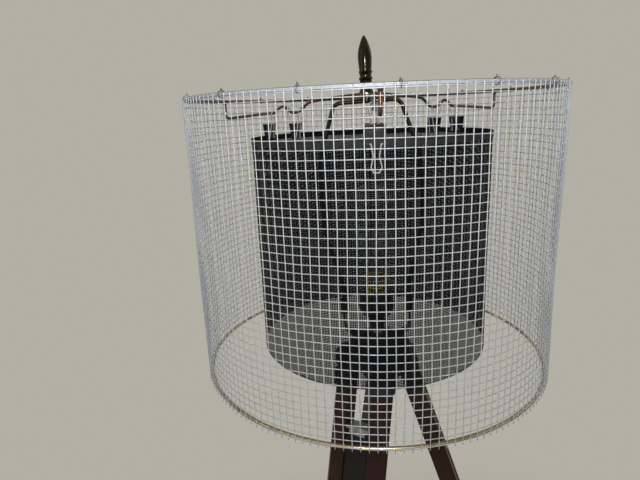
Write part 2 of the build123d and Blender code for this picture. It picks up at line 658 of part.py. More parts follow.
def wing_screw():
    """Clamp screw with two wings: its end bears on the back of the inner leg."""
    tip = SLIDE_D / 2 + 0.1
    hub = RAIL_D / 2 + STRAP_T + 3.0 + 0.5
    shank = Cylinder(SCREW_D / 2, hub - tip + 1.0, align=(Align.CENTER, Align.CENTER, Align.MIN))
    screw = Pos(0, 0, tip) * shank + Pos(0, 0, hub) * Cone(
        WING_HUB_D / 2, WING_HUB_D / 2 - 1.2, WING_HUB_H, align=(Align.CENTER, Align.CENTER, Align.MIN))
    wing = Polygon((0, 0), (WING_SPAN / 2 - 3, 3.0), (WING_SPAN / 2, 8.0), (WING_SPAN / 2 - 2, 11.0),
                   (WING_SPAN / 2 - 6, 10.0), (0, 5.5), align=None)
    pair = Plane.XZ * (wing + mirror(wing, Plane.YZ))
    screw += Pos(0, 0, hub) * extrude(pair, WING_T / 2, both=True)
    return Pos(0, 0, -CLAMP_L) * Rot(-90, 0, 0) * Rot(0, 0, 90) * screw


def slide(top):
    """Inner leg of black-stained wood, from its cap between the rails to the ferrule."""
    length = leg_length() - top - TIP_H
    bar = Pos(0, 0, -top - length / 2) * Box(SLIDE_W, SLIDE_D, length)
    return fillet(bar.edges().filter_by(Axis.Z), RAIL_EDGE)


def slide_cap(top):
    """Metal plate on top of the inner leg, as deep as the rails, with a tongue on either face."""
    plate = Pos(0, 0, -top + SLIDE_CAP_T / 2) * Box(SLIDE_W, RAIL_D, SLIDE_CAP_T)
    ears = Box(CAP_EAR_W, RAIL_D, CAP_EAR_H) - Box(SLIDE_W, SLIDE_D, CAP_EAR_H)
    return plate + Pos(0, 0, -top - CAP_EAR_H / 2) * ears


def shoe():
    """Metal ferrule round the foot of the inner leg."""
    z = -(leg_length() - TIP_H - SHOE_H / 2)
    outer = RectangleRounded(SLIDE_W + 2 * SHOE_T, SLIDE_D + 2 * SHOE_T, RAIL_EDGE + SHOE_T)
    tube = extrude(outer - RectangleRounded(SLIDE_W, SLIDE_D, RAIL_EDGE), SHOE_H / 2, both=True)
    return Pos(0, 0, z) * tube


def rubber_tip(azimuth):
    """Rubber foot, cut flat where it stands."""
    z = -(leg_length() - TIP_H)
    size = RectangleRounded(SLIDE_W + 2 * SHOE_T, SLIDE_D + 2 * SHOE_T, RAIL_EDGE + SHOE_T)
    block = leg_frame(azimuth) * Pos(0, 0, z) * extrude(size, amount=-3 * TIP_H)
    return split(block, bisect_by=Plane.XY, keep=Keep.TOP)


# ---- the whole lamp --------------------------------------------------------------------------------------
clip_bodies, clip_handles = clips()
lamp = {
    "finial": finial(),
    "spider": spider(),
    "top_ring": leaned(end_ring(RING_Z)),
    "bottom_ring": leaned(end_ring(RING_Z - CAGE_H)),
    "cage_uprights": leaned(cage_uprights()),
    "cage_hoops": leaned(cage_hoops()),
    "tie_wires": leaned(tie_wires()),
    "screen_drum": leaned(screen_drum()),
    "clip_bodies": leaned(clip_bodies),
    "clip_handles": leaned(clip_handles),
    "harp": harp(),
    "saddle": saddle(),
    "socket_shell": socket_shell(),
    "socket_body": socket_body(),
    "socket_cup": socket_cup(),
    "bulb_base": bulb_base(),
    "bulb_stem": bulb_stem(),
    "bulb_glass": bulb_glass(),
    "pipe": pipe(),
    "pipe_nut": pipe_nut(),
    "pipe_collar": pipe_collar(),
    "tripod_head": tripod_head(),
    "cord_bushing": cord_bushing(),
    "hinge_bolts": hinge_bolts(),
}
lamp["harp_sleeve_left"], lamp["harp_sleeve_right"] = harp_sleeves()
for name, azimuth in LEG_AZIMUTHS.items():
    place = leg_frame(azimuth)
    lamp[f"{name}_rails"] = [place * rail for rail in rails()]
    lamp[f"{name}_yoke"] = [place * angle for angle in yoke()]
    lamp[f"{name}_guide_band"] = place * guide_band()
    lamp[f"{name}_clamp_strap"] = place * clamp_strap()
    lamp[f"{name}_wing_screw"] = place * wing_screw()
    lamp[f"{name}_slide"] = place * slide(SLIDE_TOPS[name])
    lamp[f"{name}_slide_cap"] = place * slide_cap(SLIDE_TOPS[name])
    lamp[f"{name}_shoe"] = place * shoe()
    lamp[f"{name}_tip"] = rubber_tip(azimuth)

shapes = {name: Compound(children=item) if isinstance(item, list) else item for name, item in lamp.items()}
boxes = [shape.bounding_box() for shape in shapes.values()]
middle_x = (min(box.min.X for box in boxes) + max(box.max.X for box in boxes)) / 2
middle_y = (min(box.min.Y for box in boxes) + max(box.max.Y for box in boxes)) / 2
os.makedirs("parts", exist_ok=True)
for name, shape in shapes.items():
    export_step(Pos(-middle_x, -middle_y, 0) * shape, f"parts/{name}.step")
print(f"pole axis at x {-middle_x:.4f}, y {-middle_y:.4f}")
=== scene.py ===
from math import cos, pi, radians, sin, tan
import bmesh
import bpy
from mathutils import Matrix, Vector, noise


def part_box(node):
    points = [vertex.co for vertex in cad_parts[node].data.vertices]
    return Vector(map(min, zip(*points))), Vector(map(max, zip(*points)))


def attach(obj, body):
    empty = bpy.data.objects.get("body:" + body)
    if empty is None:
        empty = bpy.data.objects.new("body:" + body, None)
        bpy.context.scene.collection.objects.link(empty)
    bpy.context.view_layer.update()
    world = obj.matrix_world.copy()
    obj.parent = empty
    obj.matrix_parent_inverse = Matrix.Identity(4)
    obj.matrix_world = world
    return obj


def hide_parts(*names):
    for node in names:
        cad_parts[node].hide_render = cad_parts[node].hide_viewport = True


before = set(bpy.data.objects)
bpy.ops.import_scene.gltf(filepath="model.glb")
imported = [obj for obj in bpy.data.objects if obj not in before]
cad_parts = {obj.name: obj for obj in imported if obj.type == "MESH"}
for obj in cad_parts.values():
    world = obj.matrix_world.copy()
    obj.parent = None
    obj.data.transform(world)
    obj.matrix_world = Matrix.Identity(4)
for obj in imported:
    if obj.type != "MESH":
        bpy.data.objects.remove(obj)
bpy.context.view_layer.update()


# ---- wire cloth --------------------------------------------------------------------------------
# Galvanised quarter inch wire cloth rolled into a cylinder: every upright lies outside the hoops
# and is welded to each of them, and the zinc of the dip has gathered at the crossings.
CLOTH_R = 166.0            # millimetres, centre of the hoops
CLOTH_CELL = 6.35
CLOTH_WIRE_R = 0.34
UPRIGHT_COUNT = 164
UPRIGHT_HEAD = 1.1         # over the top hoop
UPRIGHT_STUB = 2.5         # below the bottom one
HOOP_COUNT = 41
CAGE_H = (HOOP_COUNT - 1) * CLOTH_CELL
WELD_OUT, WELD_ACROSS, WELD_RISE = 0.75, 0.8, 0.8
BULGE, SHEAR, SAG, KINK = 0.9, 0.9, 0.7, 0.16
ARC = 57.3                 # degrees of an arc as long as its radius

SHADE_LEAN = radians(1.9)  # its top to the right
SHADE_SHIFT = 0.0023       # metres from the pole at the top ring

low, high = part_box("finial")
pole = (low + high) / 2
low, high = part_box("top_ring")
ring_height = (low.z + high.z) / 2
shade_axis = Vector((pole.x + SHADE_SHIFT, pole.y, ring_height))
shade_frame = Matrix.Translation(shade_axis) @ Matrix.Rotation(SHADE_LEAN, 4, "Y")


def spot(azimuth, radius, rise):
    """Point at an azimuth from the front, a radius from the pole and a rise over the top ring."""
    turn = radians(azimuth)
    return Vector((pole.x + radius * sin(turn) / 1000, pole.y - radius * cos(turn) / 1000,
                   ring_height + rise / 1000))


def shade_spot(azimuth, radius, rise):
    """The same round the leaning axis of the shade."""
    turn = radians(azimuth)
    flat = Vector((radius * sin(turn) / 1000, -radius * cos(turn) / 1000, rise / 1000))
    return shade_frame @ flat


class Shape:
    """Corners and faces of one piece, gathered until it is placed."""

    def __init__(self):
        self.corners = []
        self.faces = []

    def skin(self, rows, closed=False, capped=False):
        """Faces between rings of points."""
        start = len(self.corners)
        count = len(rows[0])
        for row in rows:
            self.corners.extend(row)
        for n in range(len(rows) if closed else len(rows) - 1):
            here = start + n * count
            there = start + (n + 1) % len(rows) * count
            for k in range(count):
                after = (k + 1) % count
                self.faces.append((here + k, here + after, there + after, there + k))
        if capped:
            self.faces.append(tuple(range(start + count - 1, start - 1, -1)))
            end = start + (len(rows) - 1) * count
            self.faces.append(tuple(range(end, end + count)))

    def wire(self, line, radius, sides=6, closed=False):
        """Round wire through a line of points; its radius in millimetres may be a list."""
        normal = None
        rows = []
        for k, point in enumerate(line):
            ahead = line[(k + 1) % len(line)] if closed or k < len(line) - 1 else point
            behind = line[k - 1] if closed or k else point
            along = (ahead - behind).normalized()
            normal = normal or along.orthogonal()
            normal = (normal - along * normal.dot(along)).normalized()
            side = along.cross(normal)
            size = (radius[k] if isinstance(radius, list) else radius) / 1000
            angles = [2 * pi * n / sides for n in range(sides)]
            rows.append([point + size * (cos(a) * normal + sin(a) * side) for a in angles])
        self.skin(rows, closed, not closed)

    def place(self, name, finish, body, slot, *stands_for, crease=None):
        """Adds the piece to the scene; the crease is an angle in degrees."""
        mesh = bpy.data.meshes.new(name)
        mesh.from_pydata(self.corners, [], self.faces)
        work = bmesh.new()
        work.from_mesh(mesh)
        bmesh.ops.remove_doubles(work, verts=work.verts, dist=1e-7)
        bmesh.ops.recalc_face_normals(work, faces=work.faces)
        work.to_mesh(mesh)
        work.free()
        mesh.shade_smooth()
        if crease:
            mesh.set_sharp_from_angle(angle=radians(crease))
        mesh.materials.append(finish.material)
        piece = bpy.data.objects.new(name, mesh)
        bpy.context.scene.collection.objects.link(piece)
        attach(piece, body)
        if stands_for:
            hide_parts(*stands_for)


class Value:
    """A socket whose arithmetic adds Math nodes."""

    def __init__(self, finish, socket):
        self.finish = finish
        self.socket = socket

    def __add__(self, other):
        return self.finish.math("ADD", self, other)

    def __sub__(self, other):
        return self.finish.math("SUBTRACT", self, other)

    def __mul__(self, other):
        return self.finish.math("MULTIPLY", self, other)

    __radd__ = __add__
    __rmul__ = __mul__


class Finish:
    """A material, or the world, laid down node by node."""

    def __init__(self, name, kind=bpy.data.materials):
        self.material = kind.new(name)
        self.material.use_nodes = True
        self.tree = self.material.node_tree
        self.tree.nodes.clear()

    def node(self, kind, settings=None, sockets=None, out=0):
        """One node with its settings and what its sockets take; out is the output to go on with."""
        made = self.tree.nodes.new("ShaderNode" + kind)
        for key, value in (settings or {}).items():
            if key == "stops":
                for stop, (place, grey) in zip(made.color_ramp.elements, value):
                    stop.position = place
                    stop.color = (grey, grey, grey, 1.0)
            else:
                setattr(made, key, value)
        for key, value in (sockets or {}).items():
            if isinstance(value, Value):
                self.tree.links.new(value.socket, made.inputs[key])
            elif isinstance(value, tuple) and made.inputs[key].type == "RGBA":
                made.inputs[key].default_value = (*value, 1.0)
            else:
                made.inputs[key].default_value = value
        return Value(self, made.outputs[out])

    def math(self, operation, *values):
        return self.node("Math", {"operation": operation}, dict(enumerate(values)))

    def mix(self, share, first, second):
        """Mix of two colours, whose sockets are 6 and 7 of the node's inputs."""
        return self.node("Mix", {"data_type": "RGBA"}, {0: share, 6: first, 7: second}, out=2)

    def place(self):
        """Position on the lamp, in metres."""
        return self.node("TexCoord", out="Object")

    def mottle(self, scale, detail=3.0, where=None):
        sockets = {"Vector": where or self.place(), "Scale": scale, "Detail": detail}
        return self.node("TexNoise", None, sockets)

    def steps(self, share, *stops):
        """Ramp between two stops, each a share and its grey."""
        return self.node("ValToRGB", {"stops": stops}, {"Fac": share})

    def surface(self, **sockets):
        named = {key.replace("_", " "): value for key, value in sockets.items()}
        self.end("OutputMaterial", self.node("BsdfPrincipled", None, named))

    def end(self, kind, shader):
        output = self.tree.nodes.new("ShaderNode" + kind)
        self.tree.links.new(shader.socket, output.inputs["Surface"])

    def bump(self, height, depth):
        """Normal of an uneven surface; the depth is in metres."""
        return self.node("Bump", None, {"Height": height, "Strength": 1.0, "Distance": depth})


def cloth_point(azimuth, drop, outward):
    """The rolled cloth isn't quite true: all its wires share one gentle unevenness."""
    turn = radians(azimuth)
    where = Vector((2.2 * sin(turn), 2.2 * cos(turn), drop / 110))
    bulge = BULGE * noise.noise(where)
    shear = SHEAR * noise.noise(where * 1.7 + Vector((9, 0, 0)))
    sag = SAG * noise.noise(where * 1.4 + Vector((0, 7, 0)))
    kink = KINK * noise.noise(Vector((azimuth * 1.3, drop / 5, 3.0)))
    sideways = (shear + kink) / CLOTH_R * ARC
    rise = sag * min(1.0, drop / 20) + kink - drop
    radius = CLOTH_R + outward + bulge * min(1.0, drop / 30)
    return shade_spot(azimuth + sideways, radius, rise)


zinc = Finish("galvanised_zinc")
spangle = zinc.mottle(420.0, 4.0)
streak = zinc.mottle(90.0, 2.0)
zinc.surface(
    Base_Color=zinc.mix(spangle * 0.7 + streak * 0.3, (0.50, 0.54, 0.59), (0.74, 0.78, 0.83)),
    Metallic=0.35,
    Roughness=0.36 + 0.30 * streak,
    Normal=zinc.bump(spangle, 0.00006),
)

cloth = Shape()
cell = 360 / UPRIGHT_COUNT
for k in range(UPRIGHT_COUNT):
    azimuth = (k + 0.5) * cell
    stub = UPRIGHT_STUB + 0.7 * noise.noise(Vector((k * 3.7, 0, 0)))
    every_second = [n * CLOTH_CELL * 2 for n in range(HOOP_COUNT // 2 + 1)]
    drops = [-UPRIGHT_HEAD] + every_second + [CAGE_H + stub]
    cloth.wire([cloth_point(azimuth, drop, 2 * CLOTH_WIRE_R) for drop in drops], CLOTH_WIRE_R)
for n in range(HOOP_COUNT):
    line = [cloth_point((k + 0.5) * cell, n * CLOTH_CELL, 0.0) for k in range(UPRIGHT_COUNT)]
    cloth.wire(line, CLOTH_WIRE_R, closed=True)
    for k in range(UPRIGHT_COUNT):
        azimuth = (k + 0.5) * cell
        middle = cloth_point(azimuth, n * CLOTH_CELL, CLOTH_WIRE_R)
        out = (shade_spot(azimuth, 1, 0) - shade_axis) * WELD_OUT
        across = (shade_spot(azimuth + 90, 1, 0) - shade_axis) * WELD_ACROSS
        rise = Vector((0, 0, WELD_RISE / 1000))
        start = len(cloth.corners)
        cloth.corners += [middle + out, middle - out,
                          middle + across, middle + rise, middle - across, middle - rise]
        for a in range(4):
            b = (a + 1) % 4
            cloth.faces.append((start, start + 2 + a, start + 2 + b))
            cloth.faces.append((start + 1, start + 2 + b, start + 2 + a))
cloth.place("wire_cloth", zinc, "shade", "zinc_wire", "cage_uprights", "cage_hoops")


# ---- top and bottom rings ----------------------------------------------------------------------
# Two hoops of heavy wire inside the cloth, each butted and brazed, which leaves a small swelling.
# The top one has browned to bronze. In the gap between it and the cloth lie three thin bright zinc
# wires that are a painted highlight for the glare along its edge. The bottom one is brassy and
# polished by handling.
RING_R = 163.95
RING_WIRE_R = 1.6
RING_STEPS = 220
JOINT_SWELL = 0.05
JOINT_SPREAD = 2.2         # degrees to either side
SEAM_R = 165.45
SEAM_WIRE_R = 0.55
SEAM_DROPS = (-0.7, 0.5, 1.7)
SEAM_STEPS = 180


def worn_metal(name, dark, light, scale, rough, metallic=0.9, depth=0.0001, coat=0.0):
    """Metal that has dulled unevenly, brighter where it is rubbed."""
    finish = Finish(name)
    patch = finish.steps(finish.mottle(scale, 5.0), (0.36, 0.0), (0.66, 1.0))
    fine = finish.mottle(scale * 9, 3.0)
    finish.surface(
        Base_Color=finish.mix(patch * 0.75 + fine * 0.25, dark, light),
        Metallic=metallic,
        Roughness=rough + 0.22 * fine - 0.10 * patch,
        Coat_Weight=coat,
        Normal=finish.bump(fine, depth),
    )
    return finish


bronze = worn_metal("browned_bronze", (0.035, 0.019, 0.012), (0.17, 0.095, 0.056), 60.0, 0.24,
                    coat=0.7)
ring_brass = worn_metal("rubbed_brass", (0.26, 0.19, 0.09), (0.72, 0.60, 0.38), 45.0, 0.26)


def heavy_ring(name, finish, slot, drop, joint):
    """One of the two rings; its joint is at an azimuth."""
    ring = Shape()
    line = []
    size = []
    for n in range(RING_STEPS):
        azimuth = n * 360 / RING_STEPS
        at_joint = abs((azimuth - joint + 180) % 360 - 180) < JOINT_SPREAD
        line.append(shade_spot(azimuth, RING_R, -drop))
        size.append(RING_WIRE_R * (1 + JOINT_SWELL * at_joint))
    ring.wire(line, size, sides=12, closed=True)
    ring.place(name + "_wire", finish, "shade", slot, name)


heavy_ring("top_ring", bronze, "bronze_wire", 0.0, 171.0)
heavy_ring("bottom_ring", ring_brass, "ring_brass", CAGE_H, 193.0)

# Painted highlight: three bright zinc wires round the top ring stand in for glare along its edge.
glare_band = Shape()
for drop in SEAM_DROPS:
    line = [shade_spot(n * 360 / SEAM_STEPS, SEAM_R, -drop) for n in range(SEAM_STEPS)]
    size = [SEAM_WIRE_R + 0.12 * noise.noise(Vector((n * 0.9, drop, 4.0)))
            for n in range(SEAM_STEPS)]
    glare_band.wire(line, size, closed=True)
glare_band.place("painted_glare_seam", zinc, "shade", "zinc_wire")


# ---- tie wires ---------------------------------------------------------------------------------
# Sixteen short lengths of thin galvanised wire: each goes twice round the top ring and the first
# hoop, and its ends are twisted together with pliers and snipped off above the ring.
TIE_COUNT = 16
TIE_FIRST = 6.0            # azimuth of the first one
TIE_WIRE_R = 0.30
TIE_R = 164.9              # between the middles of ring and hoop
TIE_OUT, TIE_RISE = 2.85, 2.5
TIE_STEPS = 16
TWIST_FOOT = 2.4
TWIST_R = 0.42
TWIST_STEPS = 14
SOLID_UPRIGHTS = 81        # the solid model has every second upright

ties = Shape()
upright_pitch = 360 / SOLID_UPRIGHTS
for k in range(TIE_COUNT):
    lean = noise.noise(Vector((k * 5.1, 2.0, 0.0)))
    nearest = round((TIE_FIRST + k * 360 / TIE_COUNT) / upright_pitch - 0.5)
    azimuth = (nearest + 0.5) * upright_pitch
    for strand in (0, 1):
        line = []
        for n in range(TIE_STEPS + 1):
            turn = -pi / 2 + strand * pi + n * 2 * pi / TIE_STEPS
            radius = TIE_R + TIE_OUT * sin(turn)
            shift = 0.14 * (2 * n / TIE_STEPS - 1) + (strand - 0.5) * 0.25
            line.append(shade_spot(azimuth + shift, radius, TIE_RISE * cos(turn)))
        ties.wire(line, TIE_WIRE_R)
        tail = []
        height = 1.3 + 0.6 * noise.noise(Vector((k * 2.3, strand * 0.4, 8.0)))
        for n in range(TWIST_STEPS + 1):
            turn = strand * pi + n * 0.75
            rise = TWIST_FOOT + height * n / TWIST_STEPS
            sway = (rise - TWIST_FOOT) * 0.35 * lean
            shift = (TWIST_R * sin(turn) + 0.5 * sway) * 0.35
            radius = TIE_R + TWIST_R * cos(turn) + sway
            tail.append(shade_spot(azimuth + shift, radius, rise))
        ties.wire(tail, TIE_WIRE_R)
dull_zinc = worn_metal("dull_zinc", (0.16, 0.17, 0.18), (0.46, 0.48, 0.50), 220.0, 0.36)
ties.place("twisted_ties", dull_zinc, "shade", "zinc_wire", "tie_wires")


# ---- spider ------------------------------------------------------------------------------------
# Three arms of bronzed wire brazed to a washer on the harp. Each arm is bent into an arch between
# two dips, drops at its end and hooks up under the top ring, where it is brazed.
ARM_AZIMUTHS = (2.4, 125.0, 249.0)
ARM_R = 1.5
ARM_LINE = (               # radius and drop from the top ring
    (8.5, 0.9), (20, 0.9), (42, 2.7), (60, 4.6), (66, 7.2), (71, 11.6), (75.5, 13.8),
    (79, 14.1), (82.5, 13.8), (86, 11.9), (89.5, 9.2), (93, 7.9), (96.5, 9.2), (99.8, 11.7),
    (103.4, 13.8), (107, 14.15), (117, 14.6), (128, 15.3), (140, 16.2), (152, 17.1), (158, 17.5),
    (161.5, 17.1), (163.4, 15.6), (RING_R, 13.2), (RING_R, 8), (RING_R, 2.0))
BRAZE = ((4.2, 1.5), (3.4, 1.75), (2.6, 2.0), (2.0, 2.1), (1.6, 1.9))  # drop and radius
STUD_R = 3.15              # the hole that takes the harp's stud
WASHER_SIDE = ((STUD_R, -0.9), (3.4, -1.0), (11.1, -1.0), (11.5, -0.7), (11.5, 0.7),
               (11.1, 1.0), (3.4, 1.0), (STUD_R, 0.9), (STUD_R, -0.9))


def through(points):
    """Smooth line through every point, four steps from each to the next."""
    line = []
    ends = [points[0]] + list(points) + [points[-1]]
    for a, b, c, d in zip(ends, ends[1:], ends[2:], ends[3:]):
        for t in (0, 0.25, 0.5, 0.75):
            line.append(0.5 * (2 * b + (c - a) * t + (2 * a - 5 * b + 4 * c - d) * t * t
                               + (3 * b - a - 3 * c + d) * t ** 3))
    return line + [points[-1]]


def turned(shape, profile, sides=64):
    """Lathe work on the pole axis from (radius, rise) pairs."""
    shape.skin([[spot(360 * n / sides, radius, rise) for n in range(sides)]
                for radius, rise in profile])


spider = Shape()
for azimuth in ARM_AZIMUTHS:
    line = through([shade_spot(azimuth, radius, -drop) for radius, drop in ARM_LINE])
    spider.wire(line, ARM_R, 10)
    foot = [shade_spot(azimuth, RING_R, -drop) for drop, radius in BRAZE]
    spider.wire(foot, [radius for drop, radius in BRAZE], 12)
turned(spider, WASHER_SIDE)
spider.place("spider_frame", bronze, "shade", "bronze_wire", "spider", crease=40)


# ---- finial ------------------------------------------------------------------------------------
# A bullet turned from brass and darkened, with a flared foot, a waist and two beads. It is drilled
# and tapped from below and screws down on the harp's stud over the washer.
FINIAL_SIDE = (            # radius and rise over the top ring
    (STUD_R, 1.05), (6.4, 1.05), (6.6, 1.3), (6.6, 2.0), (6.3, 2.3), (5.8, 2.8), (5.6, 4.2),
    (5.4, 8.0), (5.4, 10.6), (5.6, 11.6), (6.1, 12.9), (6.35, 13.5), (6.35, 14.0), (6.1, 14.35),
    (5.4, 14.8), (5.35, 15.2), (5.4, 16.4), (5.6, 17.3), (6.1, 18.8), (6.35, 19.4), (6.35, 19.9),
    (6.1, 20.1), (5.6, 20.3), (5.6, 20.8), (5.8, 22.5), (6.05, 25.5), (6.27, 29.0), (6.35, 31.5),
    (6.26, 34.0), (5.95, 36.6), (5.38, 39.2), (4.58, 41.8), (3.55, 44.6), (2.45, 47.2),
    (1.35, 49.2), (0.5, 50.3), (0.0, 50.5))
FINIAL_BORE = ((0.0, 13.0), (STUD_R, 13.0), (STUD_R, 1.05))

antique = worn_metal("darkened_brass", (0.006, 0.004, 0.002), (0.055, 0.040, 0.016), 70.0, 0.14,
                     depth=0.00001, coat=0.25)
finial = Shape()
turned(finial, FINIAL_SIDE + FINIAL_BORE, 56)
finial.place("bullet_finial", antique, "finial", "brass_antique", "finial", crease=50)


# ---- screen drum -------------------------------------------------------------------------------
# Black insect screen rolled into a tube, with its upper rim folded over into a hem, a plain selvage
# below, and its ends lapped and stitched at the back. It is thin enough to see the bulb through.
SCREEN_R = 110.0
SCREEN_TOP = 36.0
SCREEN_H = 203.0
SCREEN_FOOT = SCREEN_TOP + SCREEN_H
SCREEN_HEM = 5.0
SCREEN_PITCH = 1.45        # millimetres between threads
SCREEN_INSET = 0.3         # of the sheet's middle from its outer side
SCREEN_UNEVEN = 0.5
SCREEN_STEPS = 144
# The threads are drawn wider than the real screen's, so the drum comes out darker. This is partly
# the screen's own black and partly painted shade for the shadow that falls behind the drum.
THREAD_COVER_WITH_SHADE = -0.15       # the lower, the wider the threads
HEM_THREADS = ((SCREEN_TOP, 0.4), (SCREEN_TOP + SCREEN_HEM, 0.4),
               (SCREEN_FOOT - 1.2, 0.0), (SCREEN_FOOT - 0.3, 0.0))
LAP_EDGE, LAP_STITCH = 7.0, 5.0  # to either side of the back

screen_finish = Finish("insect_screen")
x, y, z = (screen_finish.node("SeparateXYZ", None, {0: screen_finish.place()}, out=n)
           for n in range(3))
beside = x - z * tan(SHADE_LEAN) - (shade_axis.x - ring_height * tan(SHADE_LEAN))
turns = screen_finish.math("ARCTAN2", beside, y - pole.y) * (SCREEN_R * 2 * pi / SCREEN_PITCH)
warp = screen_finish.math("COSINE", turns)
weft = screen_finish.math("COSINE", z * (2000 * pi / SCREEN_PITCH))
thread = screen_finish.math("MAXIMUM", warp, weft)
# Alpha of the threads, wide enough to add painted shade to the screen's own black.
threads_with_shade = screen_finish.math("GREATER_THAN", thread, THREAD_COVER_WITH_SHADE)
weave = screen_finish.mottle(900.0, 1.0)
screen_finish.surface(
    Base_Color=screen_finish.mix(weave, (0.003, 0.003, 0.004), (0.010, 0.010, 0.012)),
    Roughness=0.62 + 0.2 * weave,
    Specular_IOR_Level=0.08,
    Alpha=threads_with_shade,
    Normal=screen_finish.bump(thread, 0.0002),
)


def screen_point(azimuth, drop, outward):
    """The rolled screen is a little uneven too."""
    turn = radians(azimuth)
    where = Vector((1.8 * sin(turn), 1.8 * cos(turn), drop / 120))
    radius = SCREEN_R - SCREEN_INSET + outward + SCREEN_UNEVEN * noise.noise(where)
    return shade_spot(azimuth, radius, -drop)


def screen_round(drop, outward):
    return [screen_point(k * 360 / SCREEN_STEPS, drop, outward) for k in range(SCREEN_STEPS)]


def screen_band(shape, first, last, outward, rows):
    """A strip of the screen round the whole drum."""
    shape.skin([screen_round(first + (last - first) * n / rows, outward)
                for n in range(rows + 1)])


drum = Shape()
screen_band(drum, SCREEN_TOP, SCREEN_FOOT, 0.0, 16)
drum.place("screen_sheet", screen_finish, "shade", "screen_black", "screen_drum")

hem_finish = Finish("screen_hem")
weave = hem_finish.mottle(1200.0, 2.0)
hem_finish.surface(
    Base_Color=hem_finish.mix(weave, (0.020, 0.021, 0.023), (0.055, 0.058, 0.062)),
    Roughness=0.65,
    Specular_IOR_Level=0.15,
    Normal=hem_finish.bump(weave, 0.0002),
)
hem = Shape()
for fold in (0.25, 0.55):
    screen_band(hem, SCREEN_TOP, SCREEN_TOP + SCREEN_HEM, fold, 2)
for drop, outward in HEM_THREADS:
    hem.wire(screen_round(drop, outward), 0.22, closed=True)
for shift in (-LAP_EDGE, LAP_EDGE):
    azimuth = 180 + shift / SCREEN_R * ARC
    hem.wire([screen_point(azimuth, SCREEN_TOP + n * 5, 0.35) for n in range(41)], 0.3)
for n in range(32):
    for shift in (-LAP_STITCH, LAP_STITCH):
        azimuth = 180 + shift / SCREEN_R * ARC
        drop = SCREEN_TOP + 6 + n * 6
        hem.wire([screen_point(azimuth, drop + along, outward)
                  for along, outward in ((0, 0.1), (1, 0.5), (2.4, 0.5), (3.4, 0.1))], 0.18, 5)
hem.place("screen_hems", hem_finish, "shade", "screen_black")


# ---- binder clips ------------------------------------------------------------------------------
# Small binder clips of blued spring steel. Their bright wire handles are hooked over the dips of
# the spider's arms, and the outer one on each arm bites the drum's upper hem.
clip_paint = Finish("clip_paint")
grain = clip_paint.mottle(700.0, 3.0)
rub = clip_paint.steps(clip_paint.mottle(160.0, 5.0), (0.60, 0.0), (0.72, 1.0))
clip_paint.surface(
    Base_Color=clip_paint.mix(rub * 0.4, (0.012, 0.012, 0.014), (0.20, 0.20, 0.21)),
    Roughness=0.24 + 0.2 * grain,
    Coat_Weight=0.4,
    Normal=clip_paint.bump(grain, 0.00003),
)
nickel = worn_metal("bright_nickel", (0.80, 0.80, 0.79), (0.97, 0.97, 0.96), 150.0, 0.12,
                    metallic=0.5, depth=0.00002)


def dress(finish, *names):
    """Gives nodes of the solid model their finish."""
    for name in names:
        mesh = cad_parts[name].data
        mesh.materials.clear()
        mesh.materials.append(finish.material)


dress(clip_paint, "clip_bodies")
dress(nickel, "clip_handles")


# ---- harp and its saddle -----------------------------------------------------------------------
# The bow that carries the shade over the bulb, of bronzed wire, with two sleeves that slide up to
# free it from the pegs of a stamped saddle on the tripod head.
harp_bronze = worn_metal("bronzed_steel", (0.006, 0.004, 0.003), (0.045, 0.031, 0.019), 80.0,
                         0.20, coat=0.5)
dress(harp_bronze, "harp", "saddle", "harp_sleeve_left", "harp_sleeve_right")


# ---- lamp holder -------------------------------------------------------------------------------
# A brass screw shell with rolled threads on a black insulator, carried by a dark bronze bell that
# is screwed on the threaded pipe.
SHELL_MOUTH = -168.0       # over the top ring
SHELL_R = 14.1
SHELL_SHEET = 0.4
SHELL_LIP = ((0.1, 0.2), (0.5, 0.1), (0.6, 0.7))  # outward and drop
SHELL_STEPS = 60
THREAD_FIRST, THREAD_REACH = 1.4, 24.4
THREAD_WAVE = 0.42
THREAD_STEP = 6.0

shell_brass = worn_metal("lamp_holder_brass", (0.95, 0.75, 0.30), (1.0, 0.92, 0.58), 130.0, 0.06,
                         depth=0.00001)
phenolic = Finish("black_phenolic")
grain = phenolic.mottle(500.0, 4.0)
phenolic.surface(
    Base_Color=phenolic.mix(grain, (0.010, 0.010, 0.011), (0.030, 0.030, 0.032)),
    Roughness=0.32 + 0.25 * grain,
    Normal=phenolic.bump(grain, 0.00005),
)
shell_side = [(SHELL_R + outward, SHELL_MOUTH - drop) for outward, drop in SHELL_LIP]
for n in range(SHELL_STEPS + 1):
    drop = THREAD_FIRST + THREAD_REACH * n / SHELL_STEPS
    wave = THREAD_WAVE * cos(2 * pi * (drop - 3.0) / THREAD_STEP)
    shell_side.append((SHELL_R + wave, SHELL_MOUTH - drop))
inner_side = [(radius - SHELL_SHEET, rise) for radius, rise in reversed(shell_side)]
shell = Shape()
turned(shell, shell_side + inner_side + shell_side[:1], 72)
shell.place("threaded_shell", shell_brass, "stand", "socket_brass", "socket_shell", crease=60)
dress(phenolic, "socket_body", "cord_bushing")
dress(harp_bronze, "socket_cup", "pipe_collar")
dress(shell_brass, "pipe", "pipe_nut")


# ---- bulb --------------------------------------------------------------------------------------
# A clear pear-shaped bulb: a blown envelope on a screw base, with a glass stem whose supports hold
# the coiled tungsten filament.
STEM_TOP = SHELL_MOUTH + 42.0
COIL_REACH = 15            # to either side
COIL_RISE = 17             # of its ends over the stem
COIL_BOW = 5
COIL_R = 0.7
COIL_STEPS = 240

